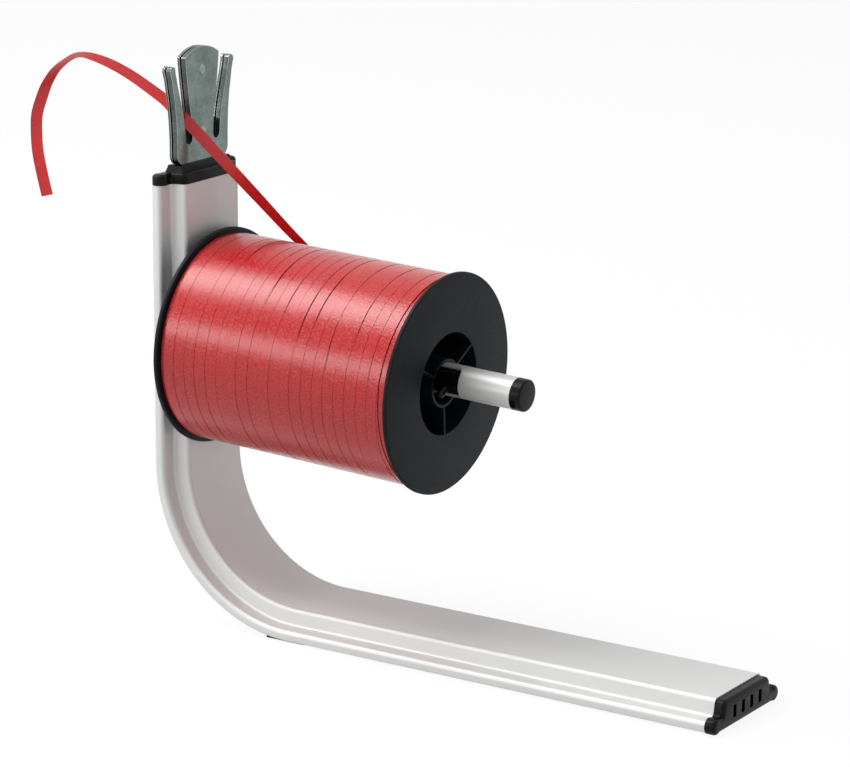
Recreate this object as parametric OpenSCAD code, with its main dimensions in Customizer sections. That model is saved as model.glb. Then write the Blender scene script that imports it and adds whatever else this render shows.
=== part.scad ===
// Ribbon spool dispenser for a shop counter. A length of aluminium channel is bent into an L: its
// foot lies on the counter and its upright carries a rod. A spool of curling ribbon hangs on the
// rod behind a sprung catch, and the ribbon is pulled up through a slotted cutter on top.
// X runs from the upright to the tip of the foot, Y across the channel, Z up from the counter.
// The origin is on the counter, in the middle of the stand's length and width.

/* [Stand] */
// Length from the back of the upright to the tip of the foot cap
overall_l = 278; // [250:1:320]
// Height of the channel's upper end above the counter
upright_h = 192.8; // [186:0.1:230]
// Inside radius of the bend, on the channel's outer face
bend_r = 57; // [50:1:60]
// Depth of the channel from its open back to its face
channel_d = 12.1; // [11.5:0.1:13]
// Width of the channel's body across its side walls
channel_w = 39.2; // [38:0.2:40]
// Width across the two toes
toes_w = 55; // [54:0.2:57]
// Wall thickness of the extrusion
wall = 1.7; // [1.5:0.1:2]
// Thickness of the end caps
cap_t = 4.7; // [4:0.1:6]
// Height that the cap lobes and heel pads lift the channel
base_gap = 1; // [0.8:0.1:1.5]

/* [Rod] */
// Outside radius of the spool rod
rod_r = 6.9; // [6.5:0.1:7.2]
// Inside radius of the spool rod
rod_bore_r = 5.7; // [5.5:0.1:5.8]
// Length of the rod from the upright's face to its plug
rod_l = 155; // [150:1:165]
// Height of the rod's axis at the upright's face
rod_z = 126.2; // [122:0.1:135]
// Angle by which the loaded rod droops
droop = 2.45; // [1.5:0.05:2.8]
// Length of the plug's head beyond the rod
plug_l = 5; // [4:0.5:10]

/* [Catch] */
// Distance from the upright to the catch's pivot
catch_pivot = 108; // [107:0.5:109]
// Distance from the upright to the middle of the catch's finger
finger_at = 123.4; // [122.8:0.1:124.2]
// Radius of the finger's round section
finger_r = 1.7; // [1.4:0.1:1.9]
// Reach of the finger's tip from the rod's axis
finger_reach = 11.9; // [11:0.1:12.5]
// Angle of the finger below the horizontal
finger_tilt = 25; // [15:1:35]
// Angle that the catch turns when it is pressed
catch_travel = 9.5; // [8:0.5:10]

/* [Spool] */
// Radius of the flanges
flange_r = 47.5; // [46:0.5:50]
// Thickness of the flanges
flange_t = 2; // [1.6:0.1:2.4]
// Length of the spool over both flanges
spool_l = 118.7; // [110:0.1:119]
// Radius of the hole in each flange
hub_r = 22; // [20:0.5:23]
// Bore radius of the ring that hangs on the rod
ring_r = 9.3; // [9:0.1:10]
// Wall of the ring and of the hub sleeve
hub_wall = 1.2; // [1:0.1:1.5]
// Thickness of the webs that carry the ring
web_t = 1.1; // [0.9:0.1:1.4]
// Depth of the ring's face below the flange's face
ring_sink = 1.4; // [1:0.1:2]

/* [Ribbon] */
// Outside radius of the wound ribbon
pack_r = 45.5; // [41:0.1:46]
// Width of the ribbon in the outer layer
wound_w = 4.1; // [3.6:0.05:4.1]
// Turns in the outer layer
wound_turns = 24; // [18:1:24]
// Width of the loose ribbon
ribbon_w = 5; // [4.5:0.1:5.5]
// Thickness of the loose ribbon's solid
ribbon_t = 0.5; // [0.4:0.05:0.6]

/* [Cutter] */
// Thickness of the front plate
front_plate_t = 2.4; // [2:0.1:2.6]
// Thickness of the back plate
back_plate_t = 1.2; // [1:0.1:1.4]
// Thickness of the blade between the plates
blade_t = 0.9; // [0.6:0.1:1.2]
// Height of the cutter's shoulders above the counter
shoulder_z = 200.2; // [199.6:0.1:201]
// Height of the blade's edge above the shoulders
blade_rise = 16.5; // [13:0.5:16.5]
// Radius of the two rivets
rivet_r = 1.6; // [1.3:0.1:1.8]

/* [Hidden] */
$fn = 64;

// Places along X
back_x = -overall_l / 2;
face_x = back_x + channel_d;
foot_end_x = overall_l / 2 - cap_t;
bend_x = face_x + bend_r;
bend_z = base_gap + channel_d + bend_r;

// Channel section: u across, v out from the open back
wall_u = channel_w / 2;
ledge_u = wall_u + 0.8;
toe_u = toes_w / 2;
ledge_v = 4.8;
toe_v = 4.6;
corner_r = 1.9;
cove_r = 1.2;
toe_r = 2;
toe_lip = 1.9;

// End caps
lobe_r = 3.4;
lobe_u = toe_u - 2.9;
lobe_v = lobe_r - base_gap;
cap_sink = 0.5;
cap_edge_r = 1.6;
cap_corner_r = 2.8;
cap_back = 0.5;
plug_u = wall_u - wall - 0.2;
plug_depth = 12;
slot_u = [-10.8, -3.6, 3.6, 10.8];
pad_back = 12;

// Rod, screw and catch
screw_r = 2.5;
washer_t = 1;
insert_l = 22;
window_x0 = catch_pivot - 4;
window_x1 = 130.2;
window_y = -1.8;
window_r = 3.5;
lever_y = -0.8;
lever_h = 4.6;
lever_end = window_x1 - 1.2;
pivot_y = 0.5;
pin_r = 1;

// Spool, placed along the rod and hanging on it
spool_at = 62;
spool_drop = ring_r - rod_r - 0.25;
half_l = spool_l / 2;
web_angles = [268, 154, 38];
ring_l = 16;
sleeve_l = 22;
barrel_r0 = hub_r + 1.4;
barrel_r1 = barrel_r0 + 1.6;
side_gap = 0.35;

// Outer layer of ribbon
turn_steps = 24;
band_t = 1;
band_bevel = 0.5;
band_r = pack_r - band_t / 2;
core_r = (pack_r - band_t) * cos(180 / turn_steps) - 0.02;
band_x0 = -half_l + flange_t + side_gap + wound_w / 2 + 0.15;
band_pitch = -2 * band_x0 / wound_turns;

// Cutter, between the channel's back and face
cutter_v = 2.6;
gap_v = cutter_v + back_plate_t;
front_v = gap_v + blade_t;
cutter_t = back_plate_t + blade_t + front_plate_t;
tang_u = 11;
tang_l = 18;
collar_h = shoulder_z - upright_h - cap_t;
rivets_z = [12.6, 39.5];
head_r = 2.2;
head_h = 0.5;
tang_screw_z = -upright_h + shoulder_z + 8;

// Route of the loose ribbon: taut from the pack to the cutter's slot, then curling down.
tail_route = [[-91.5, 38, 149], [-101.5, 25, 165.5], [-111.5, 13, 183], [-121.5, 1, 200.5],
    [-131.5, -11, 218], [-136.5, -12.4, 222], [-141, -14, 227], [-147.5, -16.5, 232],
    [-155.5, -19.5, 237.5], [-164, -22.5, 242], [-172, -25.5, 244.8], [-177.5, -27.5, 245.2],
    [-182, -29, 243], [-187, -31, 238.5], [-191, -32, 232.5], [-193.5, -33, 226],
    [-195.5, -34, 218.5], [-196, -34, 210.5], [-195.5, -34, 202.5], [-194, -33.5, 193.5],
    [-192, -32.5, 183]];
// Direction of the ribbon's width at each point of the route
tail_lay = [[1, 0, 0], [0.9, 0, 0.3], [0.7, 0, 0.6], [0.4, 0, 0.9], [0, 0, 1], [0, 0, 1],
    [0, 0, 1], [0, 0, 1], [0, 0.2, 1], [0, 0.5, 0.8], [0, 0.9, 0.4], [0, 1, 0],
    [-0.3, 1, -0.2], [0.1, 1, -0.2], [0.5, 0.9, 0], [0.7, 0.7, 0], [0.8, 0.6, 0],
    [0.8, 0.5, 0], [0.8, 0.5, 0], [0.8, 0.5, 0], [0.8, 0.5, 0]];

// Points on an arc about c from angle a0 to a1 in n steps
function arc(c, r, a0, a1, n = 6) =
    [for (i = [0:n]) let (a = a0 + (a1 - a0) * i / n) c + r * [cos(a), sin(a)]];
function mirrored(pts) = [for (i = [len(pts) - 1:-1:0]) [-pts[i][0], pts[i][1]]];
function unit(v) = v / norm(v);

// Right half of the channel's outside, from the middle of its face to its toe
function outside_half() = concat(
    arc([wall_u - corner_r, channel_d - corner_r], corner_r, 90, 0),
    arc([ledge_u + cove_r, ledge_v + cove_r], cove_r, 180, 270),
    arc([toe_u - toe_r, toe_v - toe_r], toe_r, 90, 0),
    arc([toe_u - 0.6, 0.6], 0.6, 0, -90, 3));
// Right half of its inside, from the toe back to the middle: a groove, then the channel
function inside_half() = [
    [toe_u - toe_lip, 0], [toe_u - toe_lip, ledge_v - wall],
    [ledge_u + 0.2, ledge_v - wall], [ledge_u + 0.2, 0],
    [ledge_u - wall, 0], [wall_u - wall, channel_d - wall - 0.5],
    [wall_u - wall - 0.5, channel_d - wall]];
function section() = let (half = concat(outside_half(), inside_half()))
    concat(half, mirrored(half));

// Half outline of an end cap's body, a little inside the channel's face
function cap_half() = concat(
    arc([wall_u - cap_corner_r, channel_d - cap_sink - cap_corner_r], cap_corner_r, 90, 0),
    [[ledge_u, ledge_v], [ledge_u, -cap_back]]);

// Skin over rings of points, closed at both ends
module skin(rings) {
    n = len(rings[0]);
    m = len(rings);
    polyhedron(points = [for (r = rings) for (p = r) p],
        faces = concat(
            [[for (j = [0:n - 1]) j]],
            [for (i = [0:m - 2]) for (j = [0:n - 1]) let (k = (j + 1) % n)
                each [[i * n + j, (i + 1) * n + j, i * n + k],
                    [i * n + k, (i + 1) * n + j, (i + 1) * n + k]]],
            [[for (j = [n - 1:-1:0]) (m - 1) * n + j]]));
}

// Frames: the channel's two ends, the rod and the spool
module at_foot() { translate([foot_end_x, 0, base_gap]) rotate([90, 0, 90]) children(); }
module at_top() { translate([back_x, 0, upright_h]) rotate([0, 0, -90]) children(); }
module on_rod() { translate([face_x, 0, rod_z]) rotate([0, droop, 0]) children(); }
module on_spool() { on_rod() translate([spool_at, 0, -spool_drop]) children(); }
module along_x(x0, x1, r) { translate([x0, 0, 0]) rotate([0, 90, 0]) cylinder(r = r, h = x1 - x0); }
module tube_x(x0, x1, r0, r1) {
    difference() {
        along_x(x0, x1, r1);
        along_x(x0 - 1, x1 + 1, r0);
    }
}
// Keeps only what lies in front of the upright's face
module clear_of_face() {
    difference() {
        children();
        translate([face_x - 20, -20, rod_z - 20]) cube([20, 40, 40]);
    }
}

// ---- stand
module bent_profile() {
    color("#c9cbcc") difference() {
        union() {
            translate([back_x, 0, bend_z]) rotate([0, 0, -90])
                linear_extrude(upright_h - bend_z) polygon(section());
            translate([bend_x, 0, bend_z]) rotate([90, 0, 0]) rotate([0, 0, 180])
                rotate_extrude(angle = 90, $fn = 96)
                polygon([for (p = section()) [bend_r + channel_d - p[1], p[0]]]);
            translate([bend_x, 0, base_gap]) rotate([90, 0, 90])
                linear_extrude(foot_end_x - bend_x) polygon(section());
        }
        translate([face_x, 0, rod_z]) along_x(-5, 5, screw_r + 0.25);
    }
}

// A convex outline made cap_t thick, with its outer edge rounded
module soft_edged() {
    hull() {
        linear_extrude(cap_t - cap_edge_r) children();
        for (a = [30:30:90]) translate([0, 0, cap_t - cap_edge_r * (1 - sin(a)) - 0.01])
            linear_extrude(0.01) offset(delta = -cap_edge_r * (1 - cos(a))) children();
    }
}
module cap_plate() {
    soft_edged() polygon(concat(cap_half(), mirrored(cap_half())));
    soft_edged() translate([-lobe_u, -cap_back]) square([2 * lobe_u, ledge_v + 0.5 + cap_back]);
    for (s = [-1, 1]) {
        translate([s * lobe_u, lobe_v, 0]) rotate_extrude()
            polygon(concat([[0, 0], [lobe_r, 0]],
                arc([lobe_r - cap_edge_r, cap_t - cap_edge_r], cap_edge_r, 0, 90, 4), [[0, cap_t]]));
        linear_extrude(cap_t - cap_edge_r) scale([s, 1]) polygon(concat(
            [[ledge_u - 1, ledge_v - 0.5], [ledge_u + cove_r + 0.01, ledge_v - 0.5]],
            arc([ledge_u + cove_r, ledge_v + 0.5 + cove_r], cove_r, 270, 180),
            [[ledge_u - 1, ledge_v + 0.5 + cove_r]]));
    }
}

module foot_end_cap() {
    color("#26282a") at_foot() {
        difference() {
            cap_plate();
            for (u = slot_u) translate([u - 1.3, 2.8, cap_t - 2]) cube([2.6, 5.4, 3]);
        }
        difference() {
            translate([-plug_u, 0.6, -plug_depth])
                cube([2 * plug_u, channel_d - wall - 0.7, plug_depth + 1]);
            for (s = [-1, 1]) translate([s * plug_u / 2 - 7.4, 2.4, -plug_depth - 1])
                cube([14.8, channel_d - wall - 4.3, plug_depth - 1]);
        }
    }
}

module top_end_cap() {
    color("#26282a") at_top() difference() {
        union() {
            cap_plate();
            translate([-plug_u, 0.6, -plug_depth])
                cube([2 * plug_u, channel_d - wall - 0.7, plug_depth + 1]);
            hull() {
                translate([-18.6, cutter_v - 1.8, cap_t - 0.8]) cube([37.2, cutter_t + 4, 0.8]);
                translate([-17.4, cutter_v - 1.2, cap_t + collar_h - 0.4])
                    cube([34.8, cutter_t + 2.4, 0.4]);
            }
        }
        translate([-tang_u - 0.1, cutter_v - 0.05, -plug_depth - 1])
            cube([2 * tang_u + 0.2, cutter_t + 0.1, plug_depth + cap_t + collar_h + 2]);
        for (s = [-1, 1]) translate([s * 14.2 - 2, 2, -plug_depth - 1])
            cube([4, channel_d - wall - 4, plug_depth]);
        translate([0, 0, -tang_screw_z + shoulder_z - upright_h]) rotate([-90, 0, 0]) {
            translate([0, 0, -1]) cylinder(r = 1.5, h = 10);
            translate([0, 0, 0.59]) cylinder(r1 = 3.2, r2 = 1.5, h = 1.7);
        }
    }
}

// Pads pushed up into the toe grooves, where the bend begins to rise: flat below, and shaped to
// the groove's roof above
module heel_pads() {
    roof_r = bend_z - base_gap - ledge_v + wall + 0.03;
    color("#303234") for (s = [-1, 1])
        translate([0, s * (ledge_u + toe_u - toe_lip + 0.2) / 2 + 2.3, 0]) rotate([90, 0, 0])
            linear_extrude(4.6) polygon(concat(
                [[bend_x + 8, 0], [bend_x + 8, base_gap + ledge_v - wall]],
                arc([bend_x, bend_z], roof_r, -90, -90 - asin(pad_back / roof_r), 5),
                [[bend_x - pad_back, 0]]));
}

// ---- rod
module spool_rod() {
    color("#d2d3d2") clear_of_face() on_rod() difference() {
        tube_x(-1, rod_l, rod_bore_r, rod_r);
        translate([0, 0, -10]) linear_extrude(20) polygon(concat(
            [[window_x0, -10], [window_x1, -10]],
            arc([window_x1 - window_r, window_y - window_r], window_r, 0, 90),
            arc([window_x0 + window_r, window_y - window_r], window_r, 90, 180)));
        translate([catch_pivot, pivot_y, 0]) cylinder(r = pin_r, h = 20, center = true);
    }
}

module rod_insert() {
    color("#a9abac") difference() {
        clear_of_face() on_rod() along_x(-1, insert_l, rod_bore_r);
        translate([face_x, 0, rod_z]) along_x(-1, 14, screw_r);
    }
}

module rod_washer() {
    color("#a9abac") translate([face_x - wall, 0, rod_z])
        tube_x(-washer_t, 0, screw_r + 0.1, 5.5);
}

module rod_screw() {
    color("#8f9294") translate([face_x - wall - washer_t, 0, rod_z]) difference() {
        union() {
            along_x(0, wall + washer_t + 13, screw_r);
            along_x(-2.6, 0, 4.6);
        }
        translate([-3, 0, 0]) rotate([0, 90, 0]) cylinder(r = 1.7, h = 2.1, $fn = 6);
    }
}

module rod_end_plug() {
    rim = 0.9;
    color("#26282a") on_rod() translate([rod_l, 0, 0]) rotate([0, 90, 0]) rotate_extrude()
        polygon(concat([[0, plug_l]],
            arc([rod_r - rim, plug_l - rim], rim, 90, 0, 5),
            [[rod_r, 0], [rod_bore_r, 0], [rod_bore_r, -8], [rod_bore_r - 0.8, -10], [0, -10]]));
}

// ---- catch
module catch_lever() {
    color("#1b1c1f") on_rod() difference() {
        union() {
            intersection() {
                along_x(window_x0 + 1.2, lever_end, rod_r - 0.35);
                translate([0, 0, -lever_h]) linear_extrude(2 * lever_h) polygon(concat(
                    [[window_x0 + 1.2, -7], [lever_end, -7]],
                    arc([lever_end - window_r, lever_y - window_r], window_r, 0, 90),
                    [[window_x0 + 4, lever_y], [window_x0 + 1.2, lever_y - 1.5]]));
            }
            translate([catch_pivot, pivot_y, -lever_h]) cylinder(r = 2.4, h = 2 * lever_h);
            translate([finger_at, 0, 0]) rotate([90 + finger_tilt, 0, 0]) {
                translate([0, 0, 2.5]) cylinder(r = finger_r, h = finger_reach - finger_r - 2.5);
                translate([0, 0, finger_reach - finger_r]) sphere(r = finger_r);
                translate([0, 0, 2.5]) cylinder(r1 = 3, r2 = finger_r + 0.4, h = 3.2);
            }
        }
        translate([catch_pivot, pivot_y, 0]) cylinder(r = pin_r + 0.05, h = 20, center = true);
    }
}

module catch_pivot_pin() {
    color("#b4b6b8") on_rod() translate([catch_pivot, pivot_y, 0])
        cylinder(r = pin_r, h = 2 * sqrt(pow(rod_r, 2) - pow(pin_r + pivot_y, 2)), center = true);
}

// Leaf that leans from the lever to the far wall of the rod
function leaf(y) = [for (i = [0:8]) let (t = i / 8) [catch_pivot + 5 + 12 * t, lever_y + y + 5.85 * t * t]];
module catch_spring() {
    edge = leaf(0.3);
    color("#b4b6b8") on_rod() translate([0, 0, -1.5]) linear_extrude(3)
        polygon(concat(leaf(0), [for (i = [8:-1:0]) edge[i]]));
}

// ---- spool, drawn about its own axis with x = 0 at its middle
module flange() {
    rim = 0.6;
    rotate([0, 90, 0]) rotate_extrude($fn = 96) polygon(concat(
        [[hub_r, half_l]],
        arc([flange_r - rim, half_l - rim], rim, 90, 0, 4),
        arc([flange_r - rim, half_l - flange_t + rim], rim, 0, -90, 4),
        [[barrel_r0, half_l - flange_t], [barrel_r0, half_l - sleeve_l],
            [hub_r, half_l - sleeve_l]]));
    tube_x(half_l - ring_sink - ring_l, half_l - ring_sink, ring_r, ring_r + hub_wall);
    for (a = web_angles) rotate([a, 0, 0]) translate([0, 0, -web_t / 2]) linear_extrude(web_t)
        polygon([[half_l - ring_l, ring_r + 0.6], [half_l - ring_sink, ring_r + 0.6],
            [half_l - 0.1, hub_r + 0.3], [half_l - ring_l, hub_r + 0.3]]);
}
module spool_front_flange() { color("#2e3236") on_spool() flange(); }
module spool_back_flange() { color("#2e3236") on_spool() mirror([1, 0, 0]) flange(); }
module spool_barrel() {
    color("#3a3d40") on_spool()
        tube_x(-half_l + flange_t, half_l - flange_t, barrel_r0, barrel_r1);
}
module ribbon_core() {
    color("#b52c2e") on_spool() tube_x(-half_l + flange_t + side_gap, half_l - flange_t - side_gap,
        barrel_r1, core_r, $fn = 96);
}

// The outer layer: one band wound in a helix, each end running straight for its own width.
// Its place at step i: distance along the axis, turn angle, and run past the last turn.
last_step = wound_turns * turn_steps;
function band_ring(i, run) =
    let (a = 360 * i / turn_steps, x = band_x0 + band_pitch * i / turn_steps,
        out = [0, cos(a), sin(a)], along = [0, -sin(a), cos(a)],
        h = band_t / 2, w = wound_w / 2)
    [for (q = [[-w, 0], [-w + band_bevel, -h], [w - band_bevel, -h],
        [w, 0], [w - band_bevel, h], [-w + band_bevel, h]])
        [x + q[0], 0, 0] + (band_r + q[1]) * out + run * along];
band_rings = concat([band_ring(0, -wound_w)], [for (i = [0:last_step]) band_ring(i, 0)],
    [band_ring(last_step, wound_w)]);
// Least gap between the edges of neighbouring turns, on the points of the rings
band_gap = min([for (i = [1:last_step - turn_steps])
    norm(band_rings[i + turn_steps][0] - band_rings[i][3])]);
echo(least_gap_between_turns = band_gap);
module ribbon_winding() { color("#cd3233") on_spool() skin(band_rings); }

// ---- loose ribbon: a flat tube of eight sides swept along its route
function tail_dir(i) = let (m = len(tail_route) - 1)
    unit(tail_route[min(i + 1, m)] - tail_route[max(i - 1, 0)]);
function tail_ring(i) =
    let (d = tail_dir(i), w = unit(tail_lay[i] - (tail_lay[i] * d) * d), n = cross(d, w),
        h = ribbon_w / 2, t = ribbon_t / 2)
    [for (q = [[-h, -t / 2], [-h + 0.3, -t], [h - 0.3, -t], [h, -t / 2],
        [h, t / 2], [h - 0.3, t], [-h + 0.3, t], [-h, t / 2]])
        tail_route[i] + q[0] * w + q[1] * n];
module ribbon_tail() {
    color("#cd3233") skin([for (i = [0:len(tail_route) - 1]) tail_ring(i)]);
}

// ---- cutter, drawn with u across and z up from its shoulders
function plate_half() = concat(
    arc([0, 28.4], 21.1, 90, 55.3, 6),
    [[11.5, 41], [10.6, 34], [9.4, 26.5], [8, 18], [7.45, 10.5]],
    arc([9.75, 10.4], 2.3, 180, 360, 8),
    [[12.6, 15.5], [13.8, 22], [15.7, 28.5], [17.6, 35], [19, 40.3]],
    arc([20.8, 41.3], 1.9, 150, -10, 6),
    [[21.4, 37], [20.5, 32], [19.5, 27], [18.6, 19], [18.1, 11]],
    arc([14.1, 4], 4, 0, -90, 5),
    [[tang_u, 0], [tang_u, -tang_l], [0, -tang_l]]);
module on_cutter() { translate([back_x, 0, shoulder_z]) rotate([90, 0, 90]) children(); }
module cutter_holes() {
    for (z = rivets_z) translate([0, z, -1]) cylinder(r = rivet_r, h = 20);
    translate([0, -tang_screw_z, -1]) cylinder(r = 1.5, h = 20);
}
module plate(v, t) {
    on_cutter() difference() {
        translate([0, 0, v]) linear_extrude(t) polygon(concat(plate_half(), mirrored(plate_half())));
        cutter_holes();
    }
}
module cutter_front_plate() { color("#8a9494") plate(front_v, front_plate_t); }
module cutter_back_plate() { color("#8a9494") plate(cutter_v, back_plate_t); }

// Blade: a strip with a bevelled edge that crosses both slots
module cutter_blade() {
    bevel = 1.8;
    color("#4b4f52") on_cutter() difference() {
        translate([-13.6, 0, 0]) rotate([90, 0, 90]) linear_extrude(27.2) polygon([
            [-tang_l, gap_v], [blade_rise - bevel, gap_v], [blade_rise, gap_v + blade_t / 2],
            [blade_rise - bevel, front_v], [-tang_l, front_v]]);
        for (s = [-1, 1]) translate([s * (tang_u + 4) - 4, -20, 0]) cube([8, 21, 10]);
        translate([-rivet_r - 0.3, rivets_z[0] - rivet_r - 0.3, 0]) cube([2 * rivet_r + 0.6, 10, 10]);
        translate([0, -tang_screw_z, -1]) cylinder(r = 1.5, h = 20);
    }
}

module cutter_spacer() {
    color("#4b4f52") on_cutter() translate([0, rivets_z[1], gap_v]) difference() {
        cylinder(r = 3.4, h = blade_t);
        translate([0, 0, -1]) cylinder(r = rivet_r, h = blade_t + 2);
    }
}

module cutter_rivets() {
    head = [[0, head_h], [0.9, head_h], [1.4, head_h - 0.1], [1.8, head_h - 0.25], [head_r, 0.05], [head_r, 0]];
    color("#d5d8d8") on_cutter() for (z = rivets_z) translate([0, z, cutter_v]) rotate_extrude($fn = 48)
        polygon(concat([for (p = head) [p[0], -p[1]]], [[rivet_r, 0], [rivet_r, cutter_t]],
            [for (i = [5:-1:0]) [head[i][0], cutter_t + head[i][1]]]));
}

module cutter_screw() {
    color("#8f9294") on_cutter() translate([0, -tang_screw_z, 0.6]) difference() {
        union() {
            cylinder(r = 1.5, h = 8.8);
            cylinder(r1 = 3.2, r2 = 1.5, h = 1.7);
        }
        for (a = [0, 90]) rotate([0, 0, a]) translate([-1.7, -0.3, -1]) cube([3.4, 0.6, 1.9]);
    }
}

bent_profile();
foot_end_cap();
top_end_cap();
heel_pads();
spool_rod();
rod_insert();
rod_washer();
rod_screw();
rod_end_plug();
catch_lever();
catch_pivot_pin();
catch_spring();
spool_front_flange();
spool_back_flange();
spool_barrel();
ribbon_core();
ribbon_winding();
ribbon_tail();
cutter_front_plate();
cutter_back_plate();
cutter_blade();
cutter_spacer();
cutter_rivets();
cutter_screw();
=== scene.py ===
import math

import bmesh
import bpy
from mathutils import Matrix, Vector


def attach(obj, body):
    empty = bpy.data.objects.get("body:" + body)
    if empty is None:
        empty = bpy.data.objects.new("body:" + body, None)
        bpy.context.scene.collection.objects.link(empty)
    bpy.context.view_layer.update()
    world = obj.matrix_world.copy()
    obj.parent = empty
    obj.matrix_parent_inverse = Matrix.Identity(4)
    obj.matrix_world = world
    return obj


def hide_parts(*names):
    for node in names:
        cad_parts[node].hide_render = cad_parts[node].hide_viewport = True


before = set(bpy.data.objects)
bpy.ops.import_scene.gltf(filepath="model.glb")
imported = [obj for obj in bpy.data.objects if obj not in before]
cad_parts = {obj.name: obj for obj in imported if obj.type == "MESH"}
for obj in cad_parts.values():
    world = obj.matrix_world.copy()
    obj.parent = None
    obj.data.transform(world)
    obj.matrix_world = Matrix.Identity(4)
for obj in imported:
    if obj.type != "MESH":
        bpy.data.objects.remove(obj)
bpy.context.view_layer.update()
mm = 0.001
# numbers of the sockets whose names repeat on a mix or map range node
factor, valueA, valueB, colourA, colourB, colourOut = 0, 2, 3, 6, 7, 2
fromMin, fromMax, toMin, toMax = 1, 2, 3, 4
print("frame loaded,", len(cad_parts), "nodes")


def linearColour(hexText):
    channels = [int(hexText[i:i + 2], 16) / 255 for i in (0, 2, 4)]
    linear = [c / 12.92 if c <= 0.04045 else ((c + 0.055) / 1.055) ** 2.4 for c in channels]
    return (*linear, 1.0)


def addNode(tree, kind, values=None, links=None, **settings):
    node = tree.nodes.new(kind)
    for name, value in settings.items():
        setattr(node, name, value)
    for name, value in (values or {}).items():
        node.inputs[name].default_value = value
    for name, socket in (links or {}).items():
        tree.links.new(socket, node.inputs[name])
    return node


def startMaterial(name, **sockets):
    material = bpy.data.materials.new(name)
    material.use_nodes = True
    tree = material.node_tree
    shader = tree.nodes["Principled BSDF"]
    for socket, value in sockets.items():
        shader.inputs[socket.replace("_", " ")].default_value = value
    return material, tree, shader


def objectFromMesh(name, mesh, material=None):
    piece = bpy.data.objects.new(name, mesh)
    bpy.context.scene.collection.objects.link(piece)
    if material:
        mesh.materials.clear()
        mesh.materials.append(material)
    return piece


def applyModifiers(piece):
    # turns the evaluated piece into a plain mesh and drops its modifiers
    bpy.context.view_layer.update()
    evaluated = piece.evaluated_get(bpy.context.evaluated_depsgraph_get())
    mesh = bpy.data.meshes.new_from_object(evaluated)
    piece.modifiers.clear()
    piece.data = mesh


def smoothByAngle(mesh, degrees):
    mesh.polygons.foreach_set("use_smooth", [True] * len(mesh.polygons))
    mesh.set_sharp_from_angle(angle=math.radians(degrees))


def addBevel(piece, width, segments, degrees):
    bevel = piece.modifiers.new("edge", "BEVEL")
    bevel.width = width
    bevel.segments = segments
    bevel.limit_method = "ANGLE"
    bevel.angle_limit = math.radians(degrees)
    bevel.harden_normals = True
    bevel.use_clamp_overlap = True
    return bevel


def finishedNode(node, name, material, edge, body, segments=2, degrees=32,
                 rim=None, wall=None):
    # the solid's own form, with merged faces, smooth curves and softened edges
    mergeDistance, flatDegrees = 0.002 * mm, 0.4
    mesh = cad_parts[node].data.copy()
    mesh.name = name
    shape = bmesh.new()
    shape.from_mesh(mesh)
    bmesh.ops.remove_doubles(shape, verts=shape.verts, dist=mergeDistance)
    bmesh.ops.dissolve_limit(shape, angle_limit=math.radians(flatDegrees), verts=shape.verts,
                             edges=shape.edges)
    shape.to_mesh(mesh)
    shape.free()
    smoothByAngle(mesh, degrees)
    piece = objectFromMesh(name, mesh, material)
    if wall:
        # the blanked walls are the faces square to the plate's largest one; they take the darker
        # finish, painted shade, and the softened edges the lighter one, painted highlight
        facing = max(mesh.polygons, key=lambda polygon: polygon.area).normal.copy()
        mesh.materials.append(rim)
        mesh.materials.append(wall)
        for polygon in mesh.polygons:
            if abs(polygon.normal.dot(facing)) < math.cos(math.radians(60)):
                polygon.material_index = 2
    if edge:
        bevel = addBevel(piece, edge, segments, degrees)
        bevel.material = 1 if rim else -1
        applyModifiers(piece)
    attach(piece, body)
    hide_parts(node)


def arcPoints(centre, radius, startDegrees, endDegrees, steps):
    points = []
    for i in range(steps + 1):
        angle = math.radians(startDegrees + (endDegrees - startDegrees) * i / steps)
        points.append((centre[0] + radius * math.cos(angle), centre[1] + radius * math.sin(angle)))
    return points


def skinRows(name, shape, rows, across, lengths, degrees, material):
    # each row is a closed ring; the map runs across the section and along the sweep
    uvLayer = shape.loops.layers.uv.new("UVMap")
    size = len(rows[0])
    for j in range(len(rows) - 1):
        for k in range(size):
            n = (k + 1) % size
            face = shape.faces.new((rows[j][k], rows[j][n], rows[j + 1][n], rows[j + 1][k]))
            corners = ((j, k), (j, k + 1), (j + 1, k + 1), (j + 1, k))
            for loop, (row, column) in zip(face.loops, corners):
                loop[uvLayer].uv = (across[column], lengths[row])
    shape.faces.new(list(reversed(rows[0])))
    shape.faces.new(rows[-1])
    bmesh.ops.recalc_face_normals(shape, faces=shape.faces)
    mesh = bpy.data.meshes.new(name)
    shape.to_mesh(mesh)
    shape.free()
    smoothByAngle(mesh, degrees)
    return objectFromMesh(name, mesh, material)


# camera: the photograph's own view
cameraPlace = {
    "lens": 151.28, "sensor": 36, "clipEnd": 30,
    "location": (0.76949, -1.22033, 0.49631),
    "xAxis": (0.83955, 0.54325, 0.00603),
    "yAxis": (-0.1421, 0.20887, 0.96756),
    "zAxis": (0.52437, -0.81318, 0.25255),
}
cameraData = bpy.data.cameras.new("photoCamera")
cameraData.lens = cameraPlace["lens"]
cameraData.sensor_width = cameraPlace["sensor"]
cameraData.clip_end = cameraPlace["clipEnd"]
camera = bpy.data.objects.new("photoCamera", cameraData)
turned = Matrix((cameraPlace["xAxis"], cameraPlace["yAxis"], cameraPlace["zAxis"])).transposed()
camera.matrix_world = Matrix.Translation(cameraPlace["location"]) @ turned.to_4x4()
bpy.context.scene.collection.objects.link(camera)
bpy.context.scene.camera = camera
print("camera placed")


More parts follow.
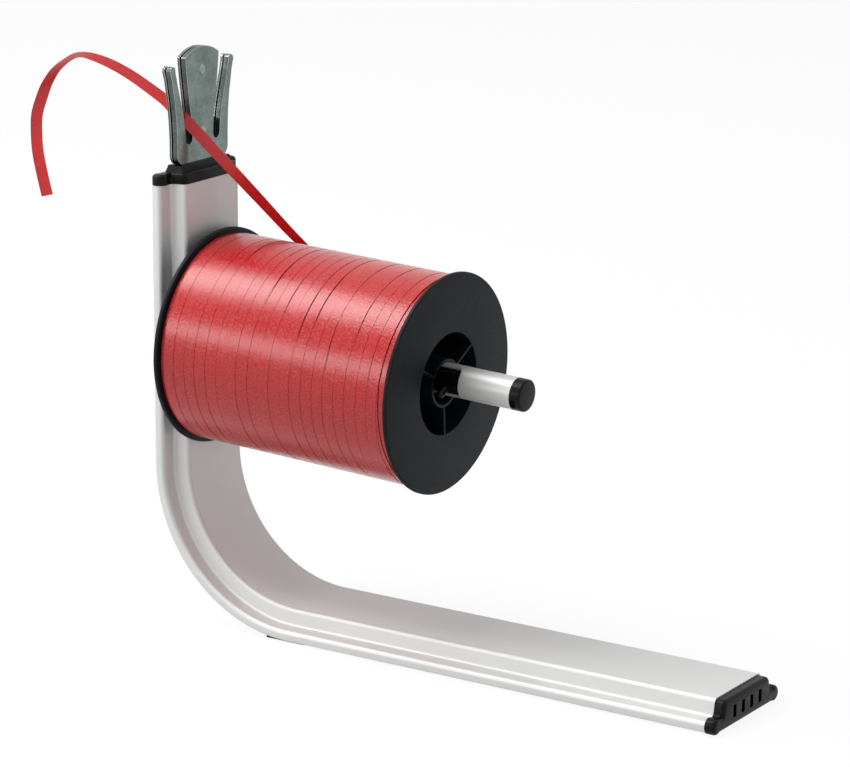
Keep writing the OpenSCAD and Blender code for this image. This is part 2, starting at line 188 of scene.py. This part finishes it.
def curlingRibbon(name, light, dark, glint):
    # polypropylene curling ribbon: extruded, embossed with a fine weave and drawn, so the
    # colour is even, the shine is broad and the highlight breaks up into small grains
    material, tree, shader = startMaterial(name, Specular_IOR_Level=0.5, IOR=1.49)
    place = addNode(tree, "ShaderNodeTexCoord")
    tint = addNode(tree, "ShaderNodeTexNoise", {"Scale": 70.0, "Detail": 2.0},
                   {"Vector": place.outputs["Object"]})
    shade = addNode(tree, "ShaderNodeMix",
                    {colourA: linearColour(light), colourB: linearColour(dark)},
                    {factor: tint.outputs["Fac"]}, data_type="RGBA")
    # the embossed grains are about 0.4 mm apart, drawn at 0.8 mm so that they show
    grain = addNode(tree, "ShaderNodeTexNoise", {"Scale": 1300.0, "Detail": 2.5, "Roughness": 0.6},
                    {"Vector": place.outputs["Object"]})
    # painted highlight: pale flecks on the grains stand for the glints of the embossing
    paintedGlintMask = addNode(tree, "ShaderNodeMapRange",
                    {fromMin: 0.44, fromMax: 0.68, toMin: 0.0, toMax: 0.26},
                    {0: grain.outputs["Fac"]})
    withPaintedGlints = addNode(tree, "ShaderNodeMix", {colourB: linearColour(glint)},
                       {factor: paintedGlintMask.outputs[0], colourA: shade.outputs[colourOut]},
                       data_type="RGBA")
    # painted shade: the film is a deeper red along both edges, standing for the thin shadowed seams
    # between wound turns; the UV runs 0 to 1 across the width
    across = addNode(tree, "ShaderNodeSeparateXYZ", None, {0: place.outputs["UV"]})
    centred = addNode(tree, "ShaderNodeMath", {1: 0.5}, {0: across.outputs[0]},
                      operation="SUBTRACT")
    side = addNode(tree, "ShaderNodeMath", None, {0: centred.outputs[0]}, operation="ABSOLUTE")
    edge = addNode(tree, "ShaderNodeMapRange",
                   {fromMin: 0.46, fromMax: 0.495, toMin: 0.0, toMax: 0.4}, {0: side.outputs[0]})
    withSeamShade = addNode(tree, "ShaderNodeMix", {colourB: linearColour("970E16")},
                    {factor: edge.outputs[0], colourA: withPaintedGlints.outputs[colourOut]},
                    data_type="RGBA")
    tree.links.new(withSeamShade.outputs[colourOut], shader.inputs["Base Color"])
    rough = addNode(tree, "ShaderNodeMapRange",
                    {fromMin: 0.35, fromMax: 0.65, toMin: 0.11, toMax: 0.27},
                    {0: grain.outputs["Fac"]})
    tree.links.new(rough.outputs[0], shader.inputs["Roughness"])
    bump = addNode(tree, "ShaderNodeBump", {"Strength": 0.7, "Distance": 0.00016},
                   {"Height": grain.outputs["Fac"]})
    tree.links.new(bump.outputs[0], shader.inputs["Normal"])
    return material


def anodisedAluminium():
    # extruded and satin anodised: pale and even, with die lines 0.4 mm apart along the
    # length and a fine etched grit between them
    material, tree, shader = startMaterial("anodisedAluminium", Metallic=0.4)
    place = addNode(tree, "ShaderNodeTexCoord")
    along = addNode(tree, "ShaderNodeMapping", {"Scale": (1.0, 0.012, 1.0)},
                    {"Vector": place.outputs["UV"]})
    lines = addNode(tree, "ShaderNodeTexNoise", {"Scale": 2600.0, "Detail": 2.0},
                    {"Vector": along.outputs[0]})
    patches = addNode(tree, "ShaderNodeTexNoise", {"Scale": 30.0, "Detail": 2.0},
                      {"Vector": place.outputs["Object"]})
    shade = addNode(tree, "ShaderNodeMix",
                    {colourA: linearColour("E3E3E2"), colourB: linearColour("DCDCDB")},
                    {factor: patches.outputs["Fac"]}, data_type="RGBA")
    tree.links.new(shade.outputs[colourOut], shader.inputs["Base Color"])
    rough = addNode(tree, "ShaderNodeMapRange",
                    {fromMin: 0.3, fromMax: 0.7, toMin: 0.48, toMax: 0.58},
                    {0: lines.outputs["Fac"]})
    tree.links.new(rough.outputs[0], shader.inputs["Roughness"])
    grit = addNode(tree, "ShaderNodeTexNoise", {"Scale": 2200.0, "Detail": 1.0},
                   {"Vector": place.outputs["Object"]})
    mixed = addNode(tree, "ShaderNodeMix", {factor: 0.5},
                    {valueA: lines.outputs["Fac"], valueB: grit.outputs["Fac"]})
    bump = addNode(tree, "ShaderNodeBump", {"Strength": 0.12, "Distance": 0.00004},
                   {"Height": mixed.outputs[0]})
    tree.links.new(bump.outputs[0], shader.inputs["Normal"])
    return material


def drawnTube():
    # drawn aluminium tube: brighter and smoother than the extrusion, its long lines drawn
    # 0.6 mm apart where the real ones are finer
    material, tree, shader = startMaterial("drawnAluminium", Metallic=0.4)
    place = addNode(tree, "ShaderNodeTexCoord")
    along = addNode(tree, "ShaderNodeMapping", {"Scale": (0.02, 1.0, 1.0)},
                    {"Vector": place.outputs["Object"]})
    lines = addNode(tree, "ShaderNodeTexNoise", {"Scale": 1800.0, "Detail": 2.0},
                    {"Vector": along.outputs[0]})
    shade = addNode(tree, "ShaderNodeMix",
                    {colourA: linearColour("E2E2E0"), colourB: linearColour("DADAD8")},
                    {factor: lines.outputs["Fac"]}, data_type="RGBA")
    tree.links.new(shade.outputs[colourOut], shader.inputs["Base Color"])
    rough = addNode(tree, "ShaderNodeMapRange",
                    {fromMin: 0.3, fromMax: 0.7, toMin: 0.42, toMax: 0.5},
                    {0: lines.outputs["Fac"]})
    tree.links.new(rough.outputs[0], shader.inputs["Roughness"])
    return material


def mouldedPlastic(name, light, dark, roughness, gloss, grainScale, depth):
    # injection moulded in a tool with a fine spark-eroded grain of about 0.1 mm, drawn at
    # 0.6 to 1.1 mm so that it shows
    material, tree, shader = startMaterial(name, Specular_IOR_Level=gloss)
    spread = 0.07
    place = addNode(tree, "ShaderNodeTexCoord")
    grain = addNode(tree, "ShaderNodeTexNoise", {"Scale": grainScale, "Detail": 3.0},
                    {"Vector": place.outputs["Object"]})
    cloud = addNode(tree, "ShaderNodeTexNoise", {"Scale": 60.0, "Detail": 2.0},
                    {"Vector": place.outputs["Object"]})
    shade = addNode(tree, "ShaderNodeMix",
                    {colourA: linearColour(light), colourB: linearColour(dark)},
                    {factor: cloud.outputs["Fac"]}, data_type="RGBA")
    tree.links.new(shade.outputs[colourOut], shader.inputs["Base Color"])
    rough = addNode(tree, "ShaderNodeMapRange",
                    {fromMin: 0.3, fromMax: 0.7, toMin: roughness - spread,
                     toMax: roughness + spread},
                    {0: grain.outputs["Fac"]})
    tree.links.new(rough.outputs[0], shader.inputs["Roughness"])
    bump = addNode(tree, "ShaderNodeBump", {"Strength": 0.3, "Distance": depth},
                   {"Height": grain.outputs["Fac"]})
    tree.links.new(bump.outputs[0], shader.inputs["Normal"])
    return material


def metalFinish(name, light, dark, roughness, grainScale, spread=0.06):
    # plated, turned or ground metal: a tight mottle in the shine, drawn at about 1 mm, with
    # broader clouds of 9 mm
    material, tree, shader = startMaterial(name, Metallic=1.0)
    place = addNode(tree, "ShaderNodeTexCoord")
    grain = addNode(tree, "ShaderNodeTexNoise", {"Scale": grainScale, "Detail": 3.0},
                    {"Vector": place.outputs["Object"]})
    cloud = addNode(tree, "ShaderNodeTexNoise", {"Scale": 110.0, "Detail": 2.0},
                    {"Vector": place.outputs["Object"]})
    both = addNode(tree, "ShaderNodeMix", {factor: 0.55},
                   {valueA: grain.outputs["Fac"], valueB: cloud.outputs["Fac"]})
    mottle = addNode(tree, "ShaderNodeMapRange", {fromMin: 0.35, fromMax: 0.65},
                     {0: both.outputs[0]})
    shade = addNode(tree, "ShaderNodeMix",
                    {colourA: linearColour(light), colourB: linearColour(dark)},
                    {factor: mottle.outputs[0]}, data_type="RGBA")
    tree.links.new(shade.outputs[colourOut], shader.inputs["Base Color"])
    rough = addNode(tree, "ShaderNodeMapRange",
                    {fromMin: 0.3, fromMax: 0.7, toMin: roughness - spread,
                     toMax: roughness + spread},
                    {0: grain.outputs["Fac"]})
    tree.links.new(rough.outputs[0], shader.inputs["Roughness"])
    return material


ribbonRed = curlingRibbon("woundPolypropylene", "CA161A", "BE1216", "E67C7B")
# painted light: the loose ribbon is a lighter copy of the pack's red, standing for the light that
# comes through its single layer and brightening its shaded side
looseRedPaintedLighter = curlingRibbon("loosePolypropylenePaintedLighter", "FB2B30", "F42529", "FF6A68")
aluminium = anodisedAluminium()
tubeMetal = drawnTube()
capPlastic = mouldedPlastic("blackNylon", "0F1012", "0A0B0C", 0.36, 0.13, 1500.0, 0.00005)
spoolPlastic = mouldedPlastic("charcoalPolystyrene", "161B21", "11161B", 0.5, 0.14, 1700.0, 0.00004)
leverPlastic = mouldedPlastic("blackAcetal", "08090A", "060607", 0.26, 0.16, 1500.0, 0.00002)
padRubber = mouldedPlastic("blackRubber", "1B1C1D", "151617", 0.75, 0.2, 900.0, 0.00008)
platedSteel = metalFinish("nickelPlatedSteel", "7F8985", "63706C", 0.18, 700.0, 0.03)
# painted highlight: a lighter copy of the plated steel on the softened edges draws the bright lines
# of light along them
paintedHighlightSteel = metalFinish("paintedEdgeHighlightSteel", "C6CDCB", "AEB7B4", 0.22, 700.0)
# the blanked walls' rougher finish is real; their darker colour, a darker copy of the plated steel,
# is painted shade
shadedWallSteel = metalFinish("blankedWallSteelPaintedShade", "5F6664", "4A504E", 0.42, 900.0)
# painted highlight: the polished rivet heads are a lighter copy of the plated steel, standing for
# the bright spots on their domes
rivetSteelPaintedLighter = metalFinish("polishedRivetSteelPaintedLighter", "98A09D", "7E8784", 0.12, 900.0, 0.03)
bladeSteel = metalFinish("groundBladeSteel", "5C6162", "484C4E", 0.32, 900.0)
zincSteel = metalFinish("zincPlatedSteel", "8E9192", "75797A", 0.36, 700.0)
turnedMetal = metalFinish("turnedAluminium", "A4A6A7", "8F9192", 0.36, 1200.0)
print("materials ready")

# loose ribbon: the same route as the solid's, in metres, from the pack to its cut end
tailRoute = [
    (-0.0915, 0.038, 0.149), (-0.1015, 0.025, 0.1655), (-0.1115, 0.013, 0.183),
    (-0.1215, 0.001, 0.2005), (-0.1315, -0.011, 0.218), (-0.1365, -0.0124, 0.222),
    (-0.141, -0.014, 0.227),
    (-0.1475, -0.0165, 0.232), (-0.1555, -0.0195, 0.2375), (-0.164, -0.0225, 0.242),
    (-0.172, -0.0255, 0.2448), (-0.1775, -0.0275, 0.2452), (-0.182, -0.029, 0.243),
    (-0.187, -0.031, 0.2385), (-0.191, -0.032, 0.2325), (-0.1935, -0.033, 0.226),
    (-0.1955, -0.034, 0.2185), (-0.196, -0.034, 0.2105), (-0.1955, -0.034, 0.2025),
    (-0.194, -0.0335, 0.1935), (-0.192, -0.0325, 0.183),
]
# the way its width lies at each point of the route
tailLay = [
    (1, 0, 0), (0.9, 0, 0.3), (0.7, 0, 0.6), (0.4, 0, 0.9), (0, 0, 1), (0, 0, 1), (0, 0, 1),
    (0, -0.1, 1), (0, -0.2, 1), (0, -0.35, 0.9), (0, -0.6, 0.75), (0, -0.85, 0.45),
    (-0.2, -0.95, 0.1),
    (-0.35, -0.9, 0), (-0.5, -0.85, 0), (-0.7, -0.7, 0), (-0.8, -0.6, 0), (-0.8, -0.5, 0),
    (-0.8, -0.5, 0), (-0.8, -0.5, 0), (-0.8, -0.5, 0),
]
tailSizes = {"width": 5.0 * mm, "thickness": 0.26 * mm, "cup": 0.12 * mm,
             "stepsPerSpan": 8, "acrossSteps": 6, "smoothDegrees": 50}


def splinePoint(points, i, t):
    # a smooth curve through every point
    last = len(points) - 1
    p0, p1, p2, p3 = (Vector(points[min(max(k, 0), last)]) for k in (i - 1, i, i + 1, i + 2))
    return 0.5 * (2 * p1 + (p2 - p0) * t + (2 * p0 - 5 * p1 + 4 * p2 - p3) * t * t
                  + (3 * p1 - p0 - 3 * p2 + p3) * t ** 3)


def flatRibbon(name, points, lays, sizes, material):
    stations, lay = [], []
    for i in range(len(points) - 1):
        for k in range(sizes["stepsPerSpan"]):
            t = k / sizes["stepsPerSpan"]
            stations.append(splinePoint(points, i, t))
            lay.append(splinePoint(lays, i, t))
    stations.append(Vector(points[-1]))
    lay.append(Vector(lays[-1]))
    shape = bmesh.new()
    rows, lengths, run = [], [], 0.0
    count = sizes["acrossSteps"]
    for j, place in enumerate(stations):
        ahead, behind = stations[min(j + 1, len(stations) - 1)], stations[max(j - 1, 0)]
        direction = (ahead - behind).normalized()
        wide = (lay[j] - direction * lay[j].dot(direction)).normalized()
        thin = direction.cross(wide)
        if j:
            run += (place - stations[j - 1]).length
        lengths.append(run)
        row = []
        for side in (1, -1):
            for k in range(count + 1):
                t = (k / count - 0.5) * side
                rise = sizes["thickness"] / 2 * side + sizes["cup"] * (1 - 4 * t * t)
                row.append(shape.verts.new(place + wide * (t * sizes["width"]) + thin * rise))
        rows.append(row)
    across = [k / count for k in range(count + 1)] * 2 + [0]
    ribbon = skinRows(name, shape, rows, across, lengths, sizes["smoothDegrees"], material)
    return ribbon, stations


looseRibbon, ribbonPath = flatRibbon("looseRibbon", tailRoute, tailLay, tailSizes, looseRedPaintedLighter)
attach(looseRibbon, "stand")
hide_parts("ribbon_tail")

# stand: one channel swept down the upright, round the bend and along the foot
channelSizes = {
    "topZ": 192.8 * mm, "bendX": -69.9 * mm, "bendZ": 70.1 * mm, "footEndX": 134.3 * mm,
    "bendRadius": 57 * mm, "depth": 12.1 * mm,
    "wallU": 19.6 * mm, "ledgeU": 20.4 * mm, "toeU": 27.5 * mm, "ledgeV": 4.8 * mm,
    "toeV": 4.6 * mm, "wall": 1.7 * mm, "cornerR": 1.9 * mm, "coveR": 1.2 * mm, "toeR": 2 * mm,
    "edgeR": 0.6 * mm, "lip": 1.9 * mm, "ledgeStep": 0.2 * mm, "insideChamfer": 0.5 * mm,
    "bendLead": 0.25 * mm, "bendSteps": 72, "smoothDegrees": 35,
}


def channelSection(s):
    # half of the section from the raised centre out to the toe and back inside, then its mirror
    corner, cove, toe, rim = s["cornerR"], s["coveR"], s["toeR"], s["edgeR"]
    outside = (arcPoints((s["wallU"] - corner, s["depth"] - corner), corner, 90, 3, 12)
               + arcPoints((s["ledgeU"] + cove, s["ledgeV"] + cove), cove, 180, 270, 10)
               + arcPoints((s["toeU"] - toe, s["toeV"] - toe), toe, 90, 0, 12)
               + arcPoints((s["toeU"] - rim, rim), rim, 0, -90, 6))
    lipU, ledgeU, wallU = s["toeU"] - s["lip"], s["ledgeU"] + s["ledgeStep"], s["wallU"] - s["wall"]
    underLedge, underTop = s["ledgeV"] - s["wall"], s["depth"] - s["wall"]
    inside = [
        (lipU, 0), (lipU, underLedge), (ledgeU, underLedge), (ledgeU, 0),
        (s["ledgeU"] - s["wall"], 0), (wallU, underTop - s["insideChamfer"]),
        (wallU - s["insideChamfer"], underTop)]
    half = outside + inside
    return half + [(-u, v) for u, v in reversed(half)]


def sweptChannel(name, s, material):
    section = channelSection(s)
    # each station: height above the bend, degrees round it, distance along the foot
    stations = [(s["topZ"] - s["bendZ"], 0.0, 0.0), (s["bendLead"], 0.0, 0.0)]
    stations += [(0.0, 90.0 * i / s["bendSteps"], 0.0) for i in range(s["bendSteps"] + 1)]
    stations += [(0.0, 90.0, s["bendLead"]), (0.0, 90.0, s["footEndX"] - s["bendX"])]
    perimeter = [0.0]
    for a, b in zip(section, section[1:] + section[:1]):
        perimeter.append(perimeter[-1] + math.hypot(b[0] - a[0], b[1] - a[1]))
    shape = bmesh.new()
    rows, lengths = [], []
    outerRadius = s["bendRadius"] + s["depth"]
    for up, angle, out in stations:
        turn = math.radians(angle)
        row = []
        for u, v in section:
            radius = outerRadius - v
            row.append(shape.verts.new((s["bendX"] - radius * math.cos(turn) + out, u,
                                        s["bendZ"] - radius * math.sin(turn) + up)))
        rows.append(row)
        lengths.append(turn * outerRadius - up + out)
    return skinRows(name, shape, rows, perimeter, lengths, s["smoothDegrees"], material)


bentChannel = sweptChannel("bentChannel", channelSizes, aluminium)
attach(bentChannel, "stand")
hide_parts("bent_profile")
print("channel swept")

# rigid pieces that keep the solid's form and get softened edges
finishedNode("foot_end_cap", "footCap", capPlastic, 0.35 * mm, "stand", 3)
finishedNode("top_end_cap", "topCap", capPlastic, 0.35 * mm, "stand", 3)
finishedNode("heel_pads", "heelPads", padRubber, 0.4 * mm, "stand", 3)
finishedNode("spool_rod", "spoolRod", tubeMetal, 0.12 * mm, "stand")
finishedNode("rod_end_plug", "rodPlug", capPlastic, 0.0, "stand")
finishedNode("catch_lever", "catchLever", leverPlastic, 0.35 * mm, "catch", 3)
finishedNode("spool_front_flange", "frontFlange", spoolPlastic, 0.15 * mm,
             "spool")
finishedNode("spool_back_flange", "backFlange", spoolPlastic, 0.15 * mm, "spool")
finishedNode("cutter_front_plate", "cutterFrontPlate", platedSteel, 0.4 * mm,
             "stand", rim=paintedHighlightSteel, wall=shadedWallSteel)
finishedNode("cutter_back_plate", "cutterBackPlate", platedSteel, 0.32 * mm,
             "stand", rim=paintedHighlightSteel, wall=shadedWallSteel)
# the rivets' heads are smooth up to 62 degrees
finishedNode("cutter_rivets", "cutterRivets", rivetSteelPaintedLighter, 0.0, "stand",
             degrees=62)
# small pieces, mostly hidden, that need only a finish
plainFinishes = {
    "rod_insert": turnedMetal, "rod_washer": turnedMetal, "rod_screw": zincSteel,
    "catch_pivot_pin": zincSteel, "catch_spring": zincSteel, "spool_barrel": spoolPlastic,
    "cutter_blade": bladeSteel, "cutter_spacer": bladeSteel, "cutter_screw": zincSteel,
}
for node, material in plainFinishes.items():
    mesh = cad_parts[node].data
    mesh.materials.clear()
    mesh.materials.append(material)
print("rigid pieces finished")

# wound ribbon: crossed layers of 5 mm ribbon, each one long flat helix, over a plain body
packSizes = {
    "droop": 2.45, "centre": (-0.065049, 0.0, 0.121402), "length": 114.0 * mm,
    "endGap": 0.6 * mm, "outerRadius": 45.4 * mm, "innerRadius": 45.24 * mm,
    "bodyRadius": 45.0 * mm, "boreRadius": 26 * mm, "width": 5.0 * mm, "thickness": 0.1 * mm,
    "outerTurns": 19.8, "innerTurns": 20.2, "outerSeed": 4.0, "innerSeed": 11.0,
    "steps": 120, "bodySteps": 96, "lean": 0.012, "waver": 2.6 * mm, "smoothDegrees": 30,
}


def windingTree():
    tree = bpy.data.node_groups.new("woundLayer", "GeometryNodeTree")
    sockets = tree.interface
    sockets.new_socket("Geometry", in_out="OUTPUT", socket_type="NodeSocketGeometry")
    for name in ("Turns", "Radius", "Length", "Width", "Thickness", "Lean", "Waver", "Seed"):
        sockets.new_socket(name, in_out="INPUT", socket_type="NodeSocketFloat")
    for name, kind in (("Steps", "Int"), ("Reverse", "Bool"), ("Finish", "Material")):
        sockets.new_socket(name, in_out="INPUT", socket_type="NodeSocket" + kind)
    given = addNode(tree, "NodeGroupInput").outputs
    spiral = addNode(tree, "GeometryNodeCurveSpiral", None, {
        "Resolution": given["Steps"], "Rotations": given["Turns"],
        "Start Radius": given["Radius"], "End Radius": given["Radius"],
        "Height": given["Length"], "Reverse": given["Reverse"]})
    index = addNode(tree, "GeometryNodeInputIndex")
    turn = addNode(tree, "ShaderNodeMath", None, {0: index.outputs[0], 1: given["Steps"]},
                   operation="DIVIDE")
    # each turn wanders a little to one side, so that its edges show uneven gaps
    seeded = addNode(tree, "ShaderNodeMath", None, {0: turn.outputs[0], 1: given["Seed"]},
                     operation="ADD")
    drift = addNode(tree, "ShaderNodeTexNoise", {"Scale": 0.55, "Detail": 2.0},
                    {"W": seeded.outputs[0]}, noise_dimensions="1D")
    centred = addNode(tree, "ShaderNodeMath", {1: 0.5}, {0: drift.outputs["Fac"]},
                      operation="SUBTRACT")
    shift = addNode(tree, "ShaderNodeMath", None, {0: centred.outputs[0], 1: given["Waver"]},
                    operation="MULTIPLY")
    offset = addNode(tree, "ShaderNodeCombineXYZ", None, {"Z": shift.outputs[0]})
    moved = addNode(tree, "GeometryNodeSetPosition", None,
                    {"Geometry": spiral.outputs[0], "Offset": offset.outputs[0]})
    upright = addNode(tree, "GeometryNodeSetCurveNormal", None, {"Curve": moved.outputs[0]},
                      mode="Z_UP")
    leaned = addNode(tree, "GeometryNodeSetCurveTilt", None,
                     {"Curve": upright.outputs[0], "Tilt": given["Lean"]})
    # places along and across the ribbon, kept for its UV map
    along = addNode(tree, "GeometryNodeSplineParameter")
    route = addNode(tree, "GeometryNodeCaptureAttribute", None, {"Geometry": leaned.outputs[0]})
    route.capture_items.new("FLOAT", "along")
    tree.links.new(along.outputs["Length"], route.inputs[1])
    strip = addNode(tree, "GeometryNodeCurvePrimitiveQuadrilateral", None,
                    {"Width": given["Thickness"], "Height": given["Width"]})
    spot = addNode(tree, "GeometryNodeInputPosition")
    spotParts = addNode(tree, "ShaderNodeSeparateXYZ", None, {0: spot.outputs[0]})
    share = addNode(tree, "ShaderNodeMath", None, {0: spotParts.outputs[1], 1: given["Width"]},
                    operation="DIVIDE")
    profile = addNode(tree, "GeometryNodeCaptureAttribute", None, {"Geometry": strip.outputs[0]})
    profile.capture_items.new("FLOAT", "across")
    tree.links.new(share.outputs[0], profile.inputs[1])
    band = addNode(tree, "GeometryNodeCurveToMesh", {"Fill Caps": True},
                   {"Curve": route.outputs[0], "Profile Curve": profile.outputs[0]})
    across = addNode(tree, "ShaderNodeMath", {1: 0.5}, {0: profile.outputs[1]}, operation="ADD")
    mapPlace = addNode(tree, "ShaderNodeCombineXYZ", None,
                       {"X": across.outputs[0], "Y": route.outputs[1]})
    mapped = addNode(tree, "GeometryNodeStoreNamedAttribute", {"Name": "UVMap"},
                     {"Geometry": band.outputs[0], "Value": mapPlace.outputs[0]},
                     data_type="FLOAT2", domain="CORNER")
    real = addNode(tree, "GeometryNodeRealizeInstances", None, {0: mapped.outputs[0]})
    finish = addNode(tree, "GeometryNodeSetMaterial", None,
                     {"Geometry": real.outputs[0], "Material": given["Finish"]})
    addNode(tree, "NodeGroupOutput", None, {0: finish.outputs[0]})
    return tree


def rodPlace(s):
    # from a piece centred on the X axis to the spool's place on the drooping rod
    return Matrix.Translation(s["centre"]) @ Matrix.Rotation(math.radians(s["droop"]), 4, "Y")


def woundLayer(name, tree, s, layer, reverse):
    piece = objectFromMesh(name, bpy.data.meshes.new(name))
    modifier = piece.modifiers.new("layer", "NODES")
    modifier.node_group = tree
    run = s["length"] - s["width"] - 2 * s["endGap"]
    given = {
        "Turns": s[layer + "Turns"], "Radius": s[layer + "Radius"], "Length": run,
        "Width": s["width"], "Thickness": s["thickness"], "Lean": s["lean"],
        "Waver": s["waver"], "Seed": s[layer + "Seed"], "Steps": s["steps"],
        "Reverse": reverse, "Finish": ribbonRed}
    for socket in tree.interface.items_tree:
        if socket.in_out == "INPUT":
            modifier[socket.identifier] = given[socket.name]
    applyModifiers(piece)
    alongRod = Matrix.Rotation(math.radians(90), 4, "Y") @ Matrix.Translation((0, 0, -run / 2))
    piece.data.transform(rodPlace(s) @ alongRod)
    shape = bmesh.new()
    shape.from_mesh(piece.data)
    bmesh.ops.recalc_face_normals(shape, faces=shape.faces)
    shape.to_mesh(piece.data)
    shape.free()
    smoothByAngle(piece.data, s["smoothDegrees"])
    return piece


layerTree = windingTree()
outerLayer = woundLayer("outerLayer", layerTree, packSizes, "outer", False)
innerLayer = woundLayer("innerLayer", layerTree, packSizes, "inner", True)


def packBody(s):
    # the turns below, closed against the flanges
    shape = bmesh.new()
    half, steps = s["length"] / 2, s["bodySteps"]
    angles = [2 * math.pi * k / steps for k in range(steps)]
    rows = []
    for x, radius in ((-half, s["boreRadius"]), (-half, s["bodyRadius"]),
                      (half, s["bodyRadius"]), (half, s["boreRadius"])):
        rows.append([shape.verts.new((x, radius * math.cos(angle), radius * math.sin(angle)))
                     for angle in angles])
    rows.append(rows[0])
    for a, b in zip(rows, rows[1:]):
        for k in range(steps):
            n = (k + 1) % steps
            shape.faces.new((a[k], a[n], b[n], b[k]))
    bmesh.ops.recalc_face_normals(shape, faces=shape.faces)
    # the map stays in the middle of a ribbon's width, away from the painted seam shade at its edges
    uvLayer = shape.loops.layers.uv.new("UVMap")
    for face in shape.faces:
        for loop in face.loops:
            loop[uvLayer].uv = (0.5, loop.vert.co.x)
    mesh = bpy.data.meshes.new("packBody")
    shape.to_mesh(mesh)
    shape.free()
    smoothByAngle(mesh, s["smoothDegrees"])
    mesh.transform(rodPlace(s))
    return objectFromMesh("packBody", mesh, ribbonRed)


innerTurns = packBody(packSizes)
for piece in (outerLayer, innerLayer, innerTurns):
    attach(piece, "spool")
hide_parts("ribbon_winding")
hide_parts("ribbon_core")
print("ribbon wound")

# studio: pale floor, one broad light above and one narrow light in front on the left
studio = {
    "floorHalf": 6.0, "world": "FFFFFF", "worldStrength": 0.24, "seenStrength": 1.0,
    "floor": "B4B4B4", "floorGlow": 1.14, "glowShare": 0.8,
    "overhead": {"direction": (-0.5, -0.2, 0.84), "distance": 1.8, "size": (1.9, 0.76),
                 "power": 34.0},
    "frontStrip": {"direction": (-0.52, -0.82, 0.25), "distance": 1.3, "size": (1.0, 0.22),
                   "power": 4.4},
}
middle = Vector((-0.06, 0.0, 0.12))


def softLight(name, place):
    data = bpy.data.lights.new(name, "AREA")
    data.shape = "RECTANGLE"
    data.size, data.size_y = place["size"]
    data.energy = place["power"]
    lamp = bpy.data.objects.new(name, data)
    direction = Vector(place["direction"]).normalized()
    # the long side lies along the spool
    long = (Vector((1, 0, 0)) - direction * direction.x).normalized()
    lamp.matrix_world = Matrix.Translation(middle + direction * place["distance"]) @ Matrix(
        (long, direction.cross(long), direction)).transposed().to_4x4()
    bpy.context.scene.collection.objects.link(lamp)


def seenDirectly(tree):
    # 1 for rays from the camera, through clear pieces and in gloss, 0 for scattered light
    rays = addNode(tree, "ShaderNodeLightPath").outputs
    clear = addNode(tree, "ShaderNodeMath", None,
                    {0: rays["Is Camera Ray"], 1: rays["Is Transmission Ray"]}, operation="MAXIMUM")
    either = addNode(tree, "ShaderNodeMath", None,
                     {0: clear.outputs[0], 1: rays["Is Glossy Ray"]}, operation="MAXIMUM")
    return either.outputs[0]


softLight("overheadLight", studio["overhead"])
softLight("frontStripLight", studio["frontStrip"])

world = bpy.data.worlds.new("paleRoom")
world.use_nodes = True
bpy.context.scene.world = world
roomTree = world.node_tree
room = roomTree.nodes["Background"]
room.inputs["Color"].default_value = linearColour(studio["world"])
strength = addNode(roomTree, "ShaderNodeMix",
                   {valueA: studio["worldStrength"], valueB: studio["seenStrength"]},
                   {factor: seenDirectly(roomTree)})
roomTree.links.new(strength.outputs[0], room.inputs["Strength"])

floorMesh = bpy.data.meshes.new("floor")
half = studio["floorHalf"]
floorCorners = [(-half, -half, 0), (half, -half, 0), (half, half, 0), (-half, half, 0)]
floorMesh.from_pydata(floorCorners, [], [(0, 1, 2, 3)])
floorMaterial, floorTree, floorShader = startMaterial("paleFloor", Roughness=0.8)
floorShader.inputs["Base Color"].default_value = linearColour(studio["floor"])
# the floor shows white to the camera and in gloss, and a fifth of it keeps the shadow
floorGlow = addNode(floorTree, "ShaderNodeEmission",
                    {"Color": linearColour("FFFFFF"), "Strength": studio["floorGlow"]})
share = addNode(floorTree, "ShaderNodeMath", {1: studio["glowShare"]},
                {0: seenDirectly(floorTree)}, operation="MULTIPLY")
floorMix = addNode(floorTree, "ShaderNodeMixShader", None,
                   {0: share.outputs[0], 1: floorShader.outputs[0], 2: floorGlow.outputs[0]})
floorTree.links.new(floorMix.outputs[0],
                    floorTree.nodes["Material Output"].inputs["Surface"])
floor = objectFromMesh("floor", floorMesh, floorMaterial)

bpy.context.scene.view_settings.view_transform = "Standard"
print("studio ready")
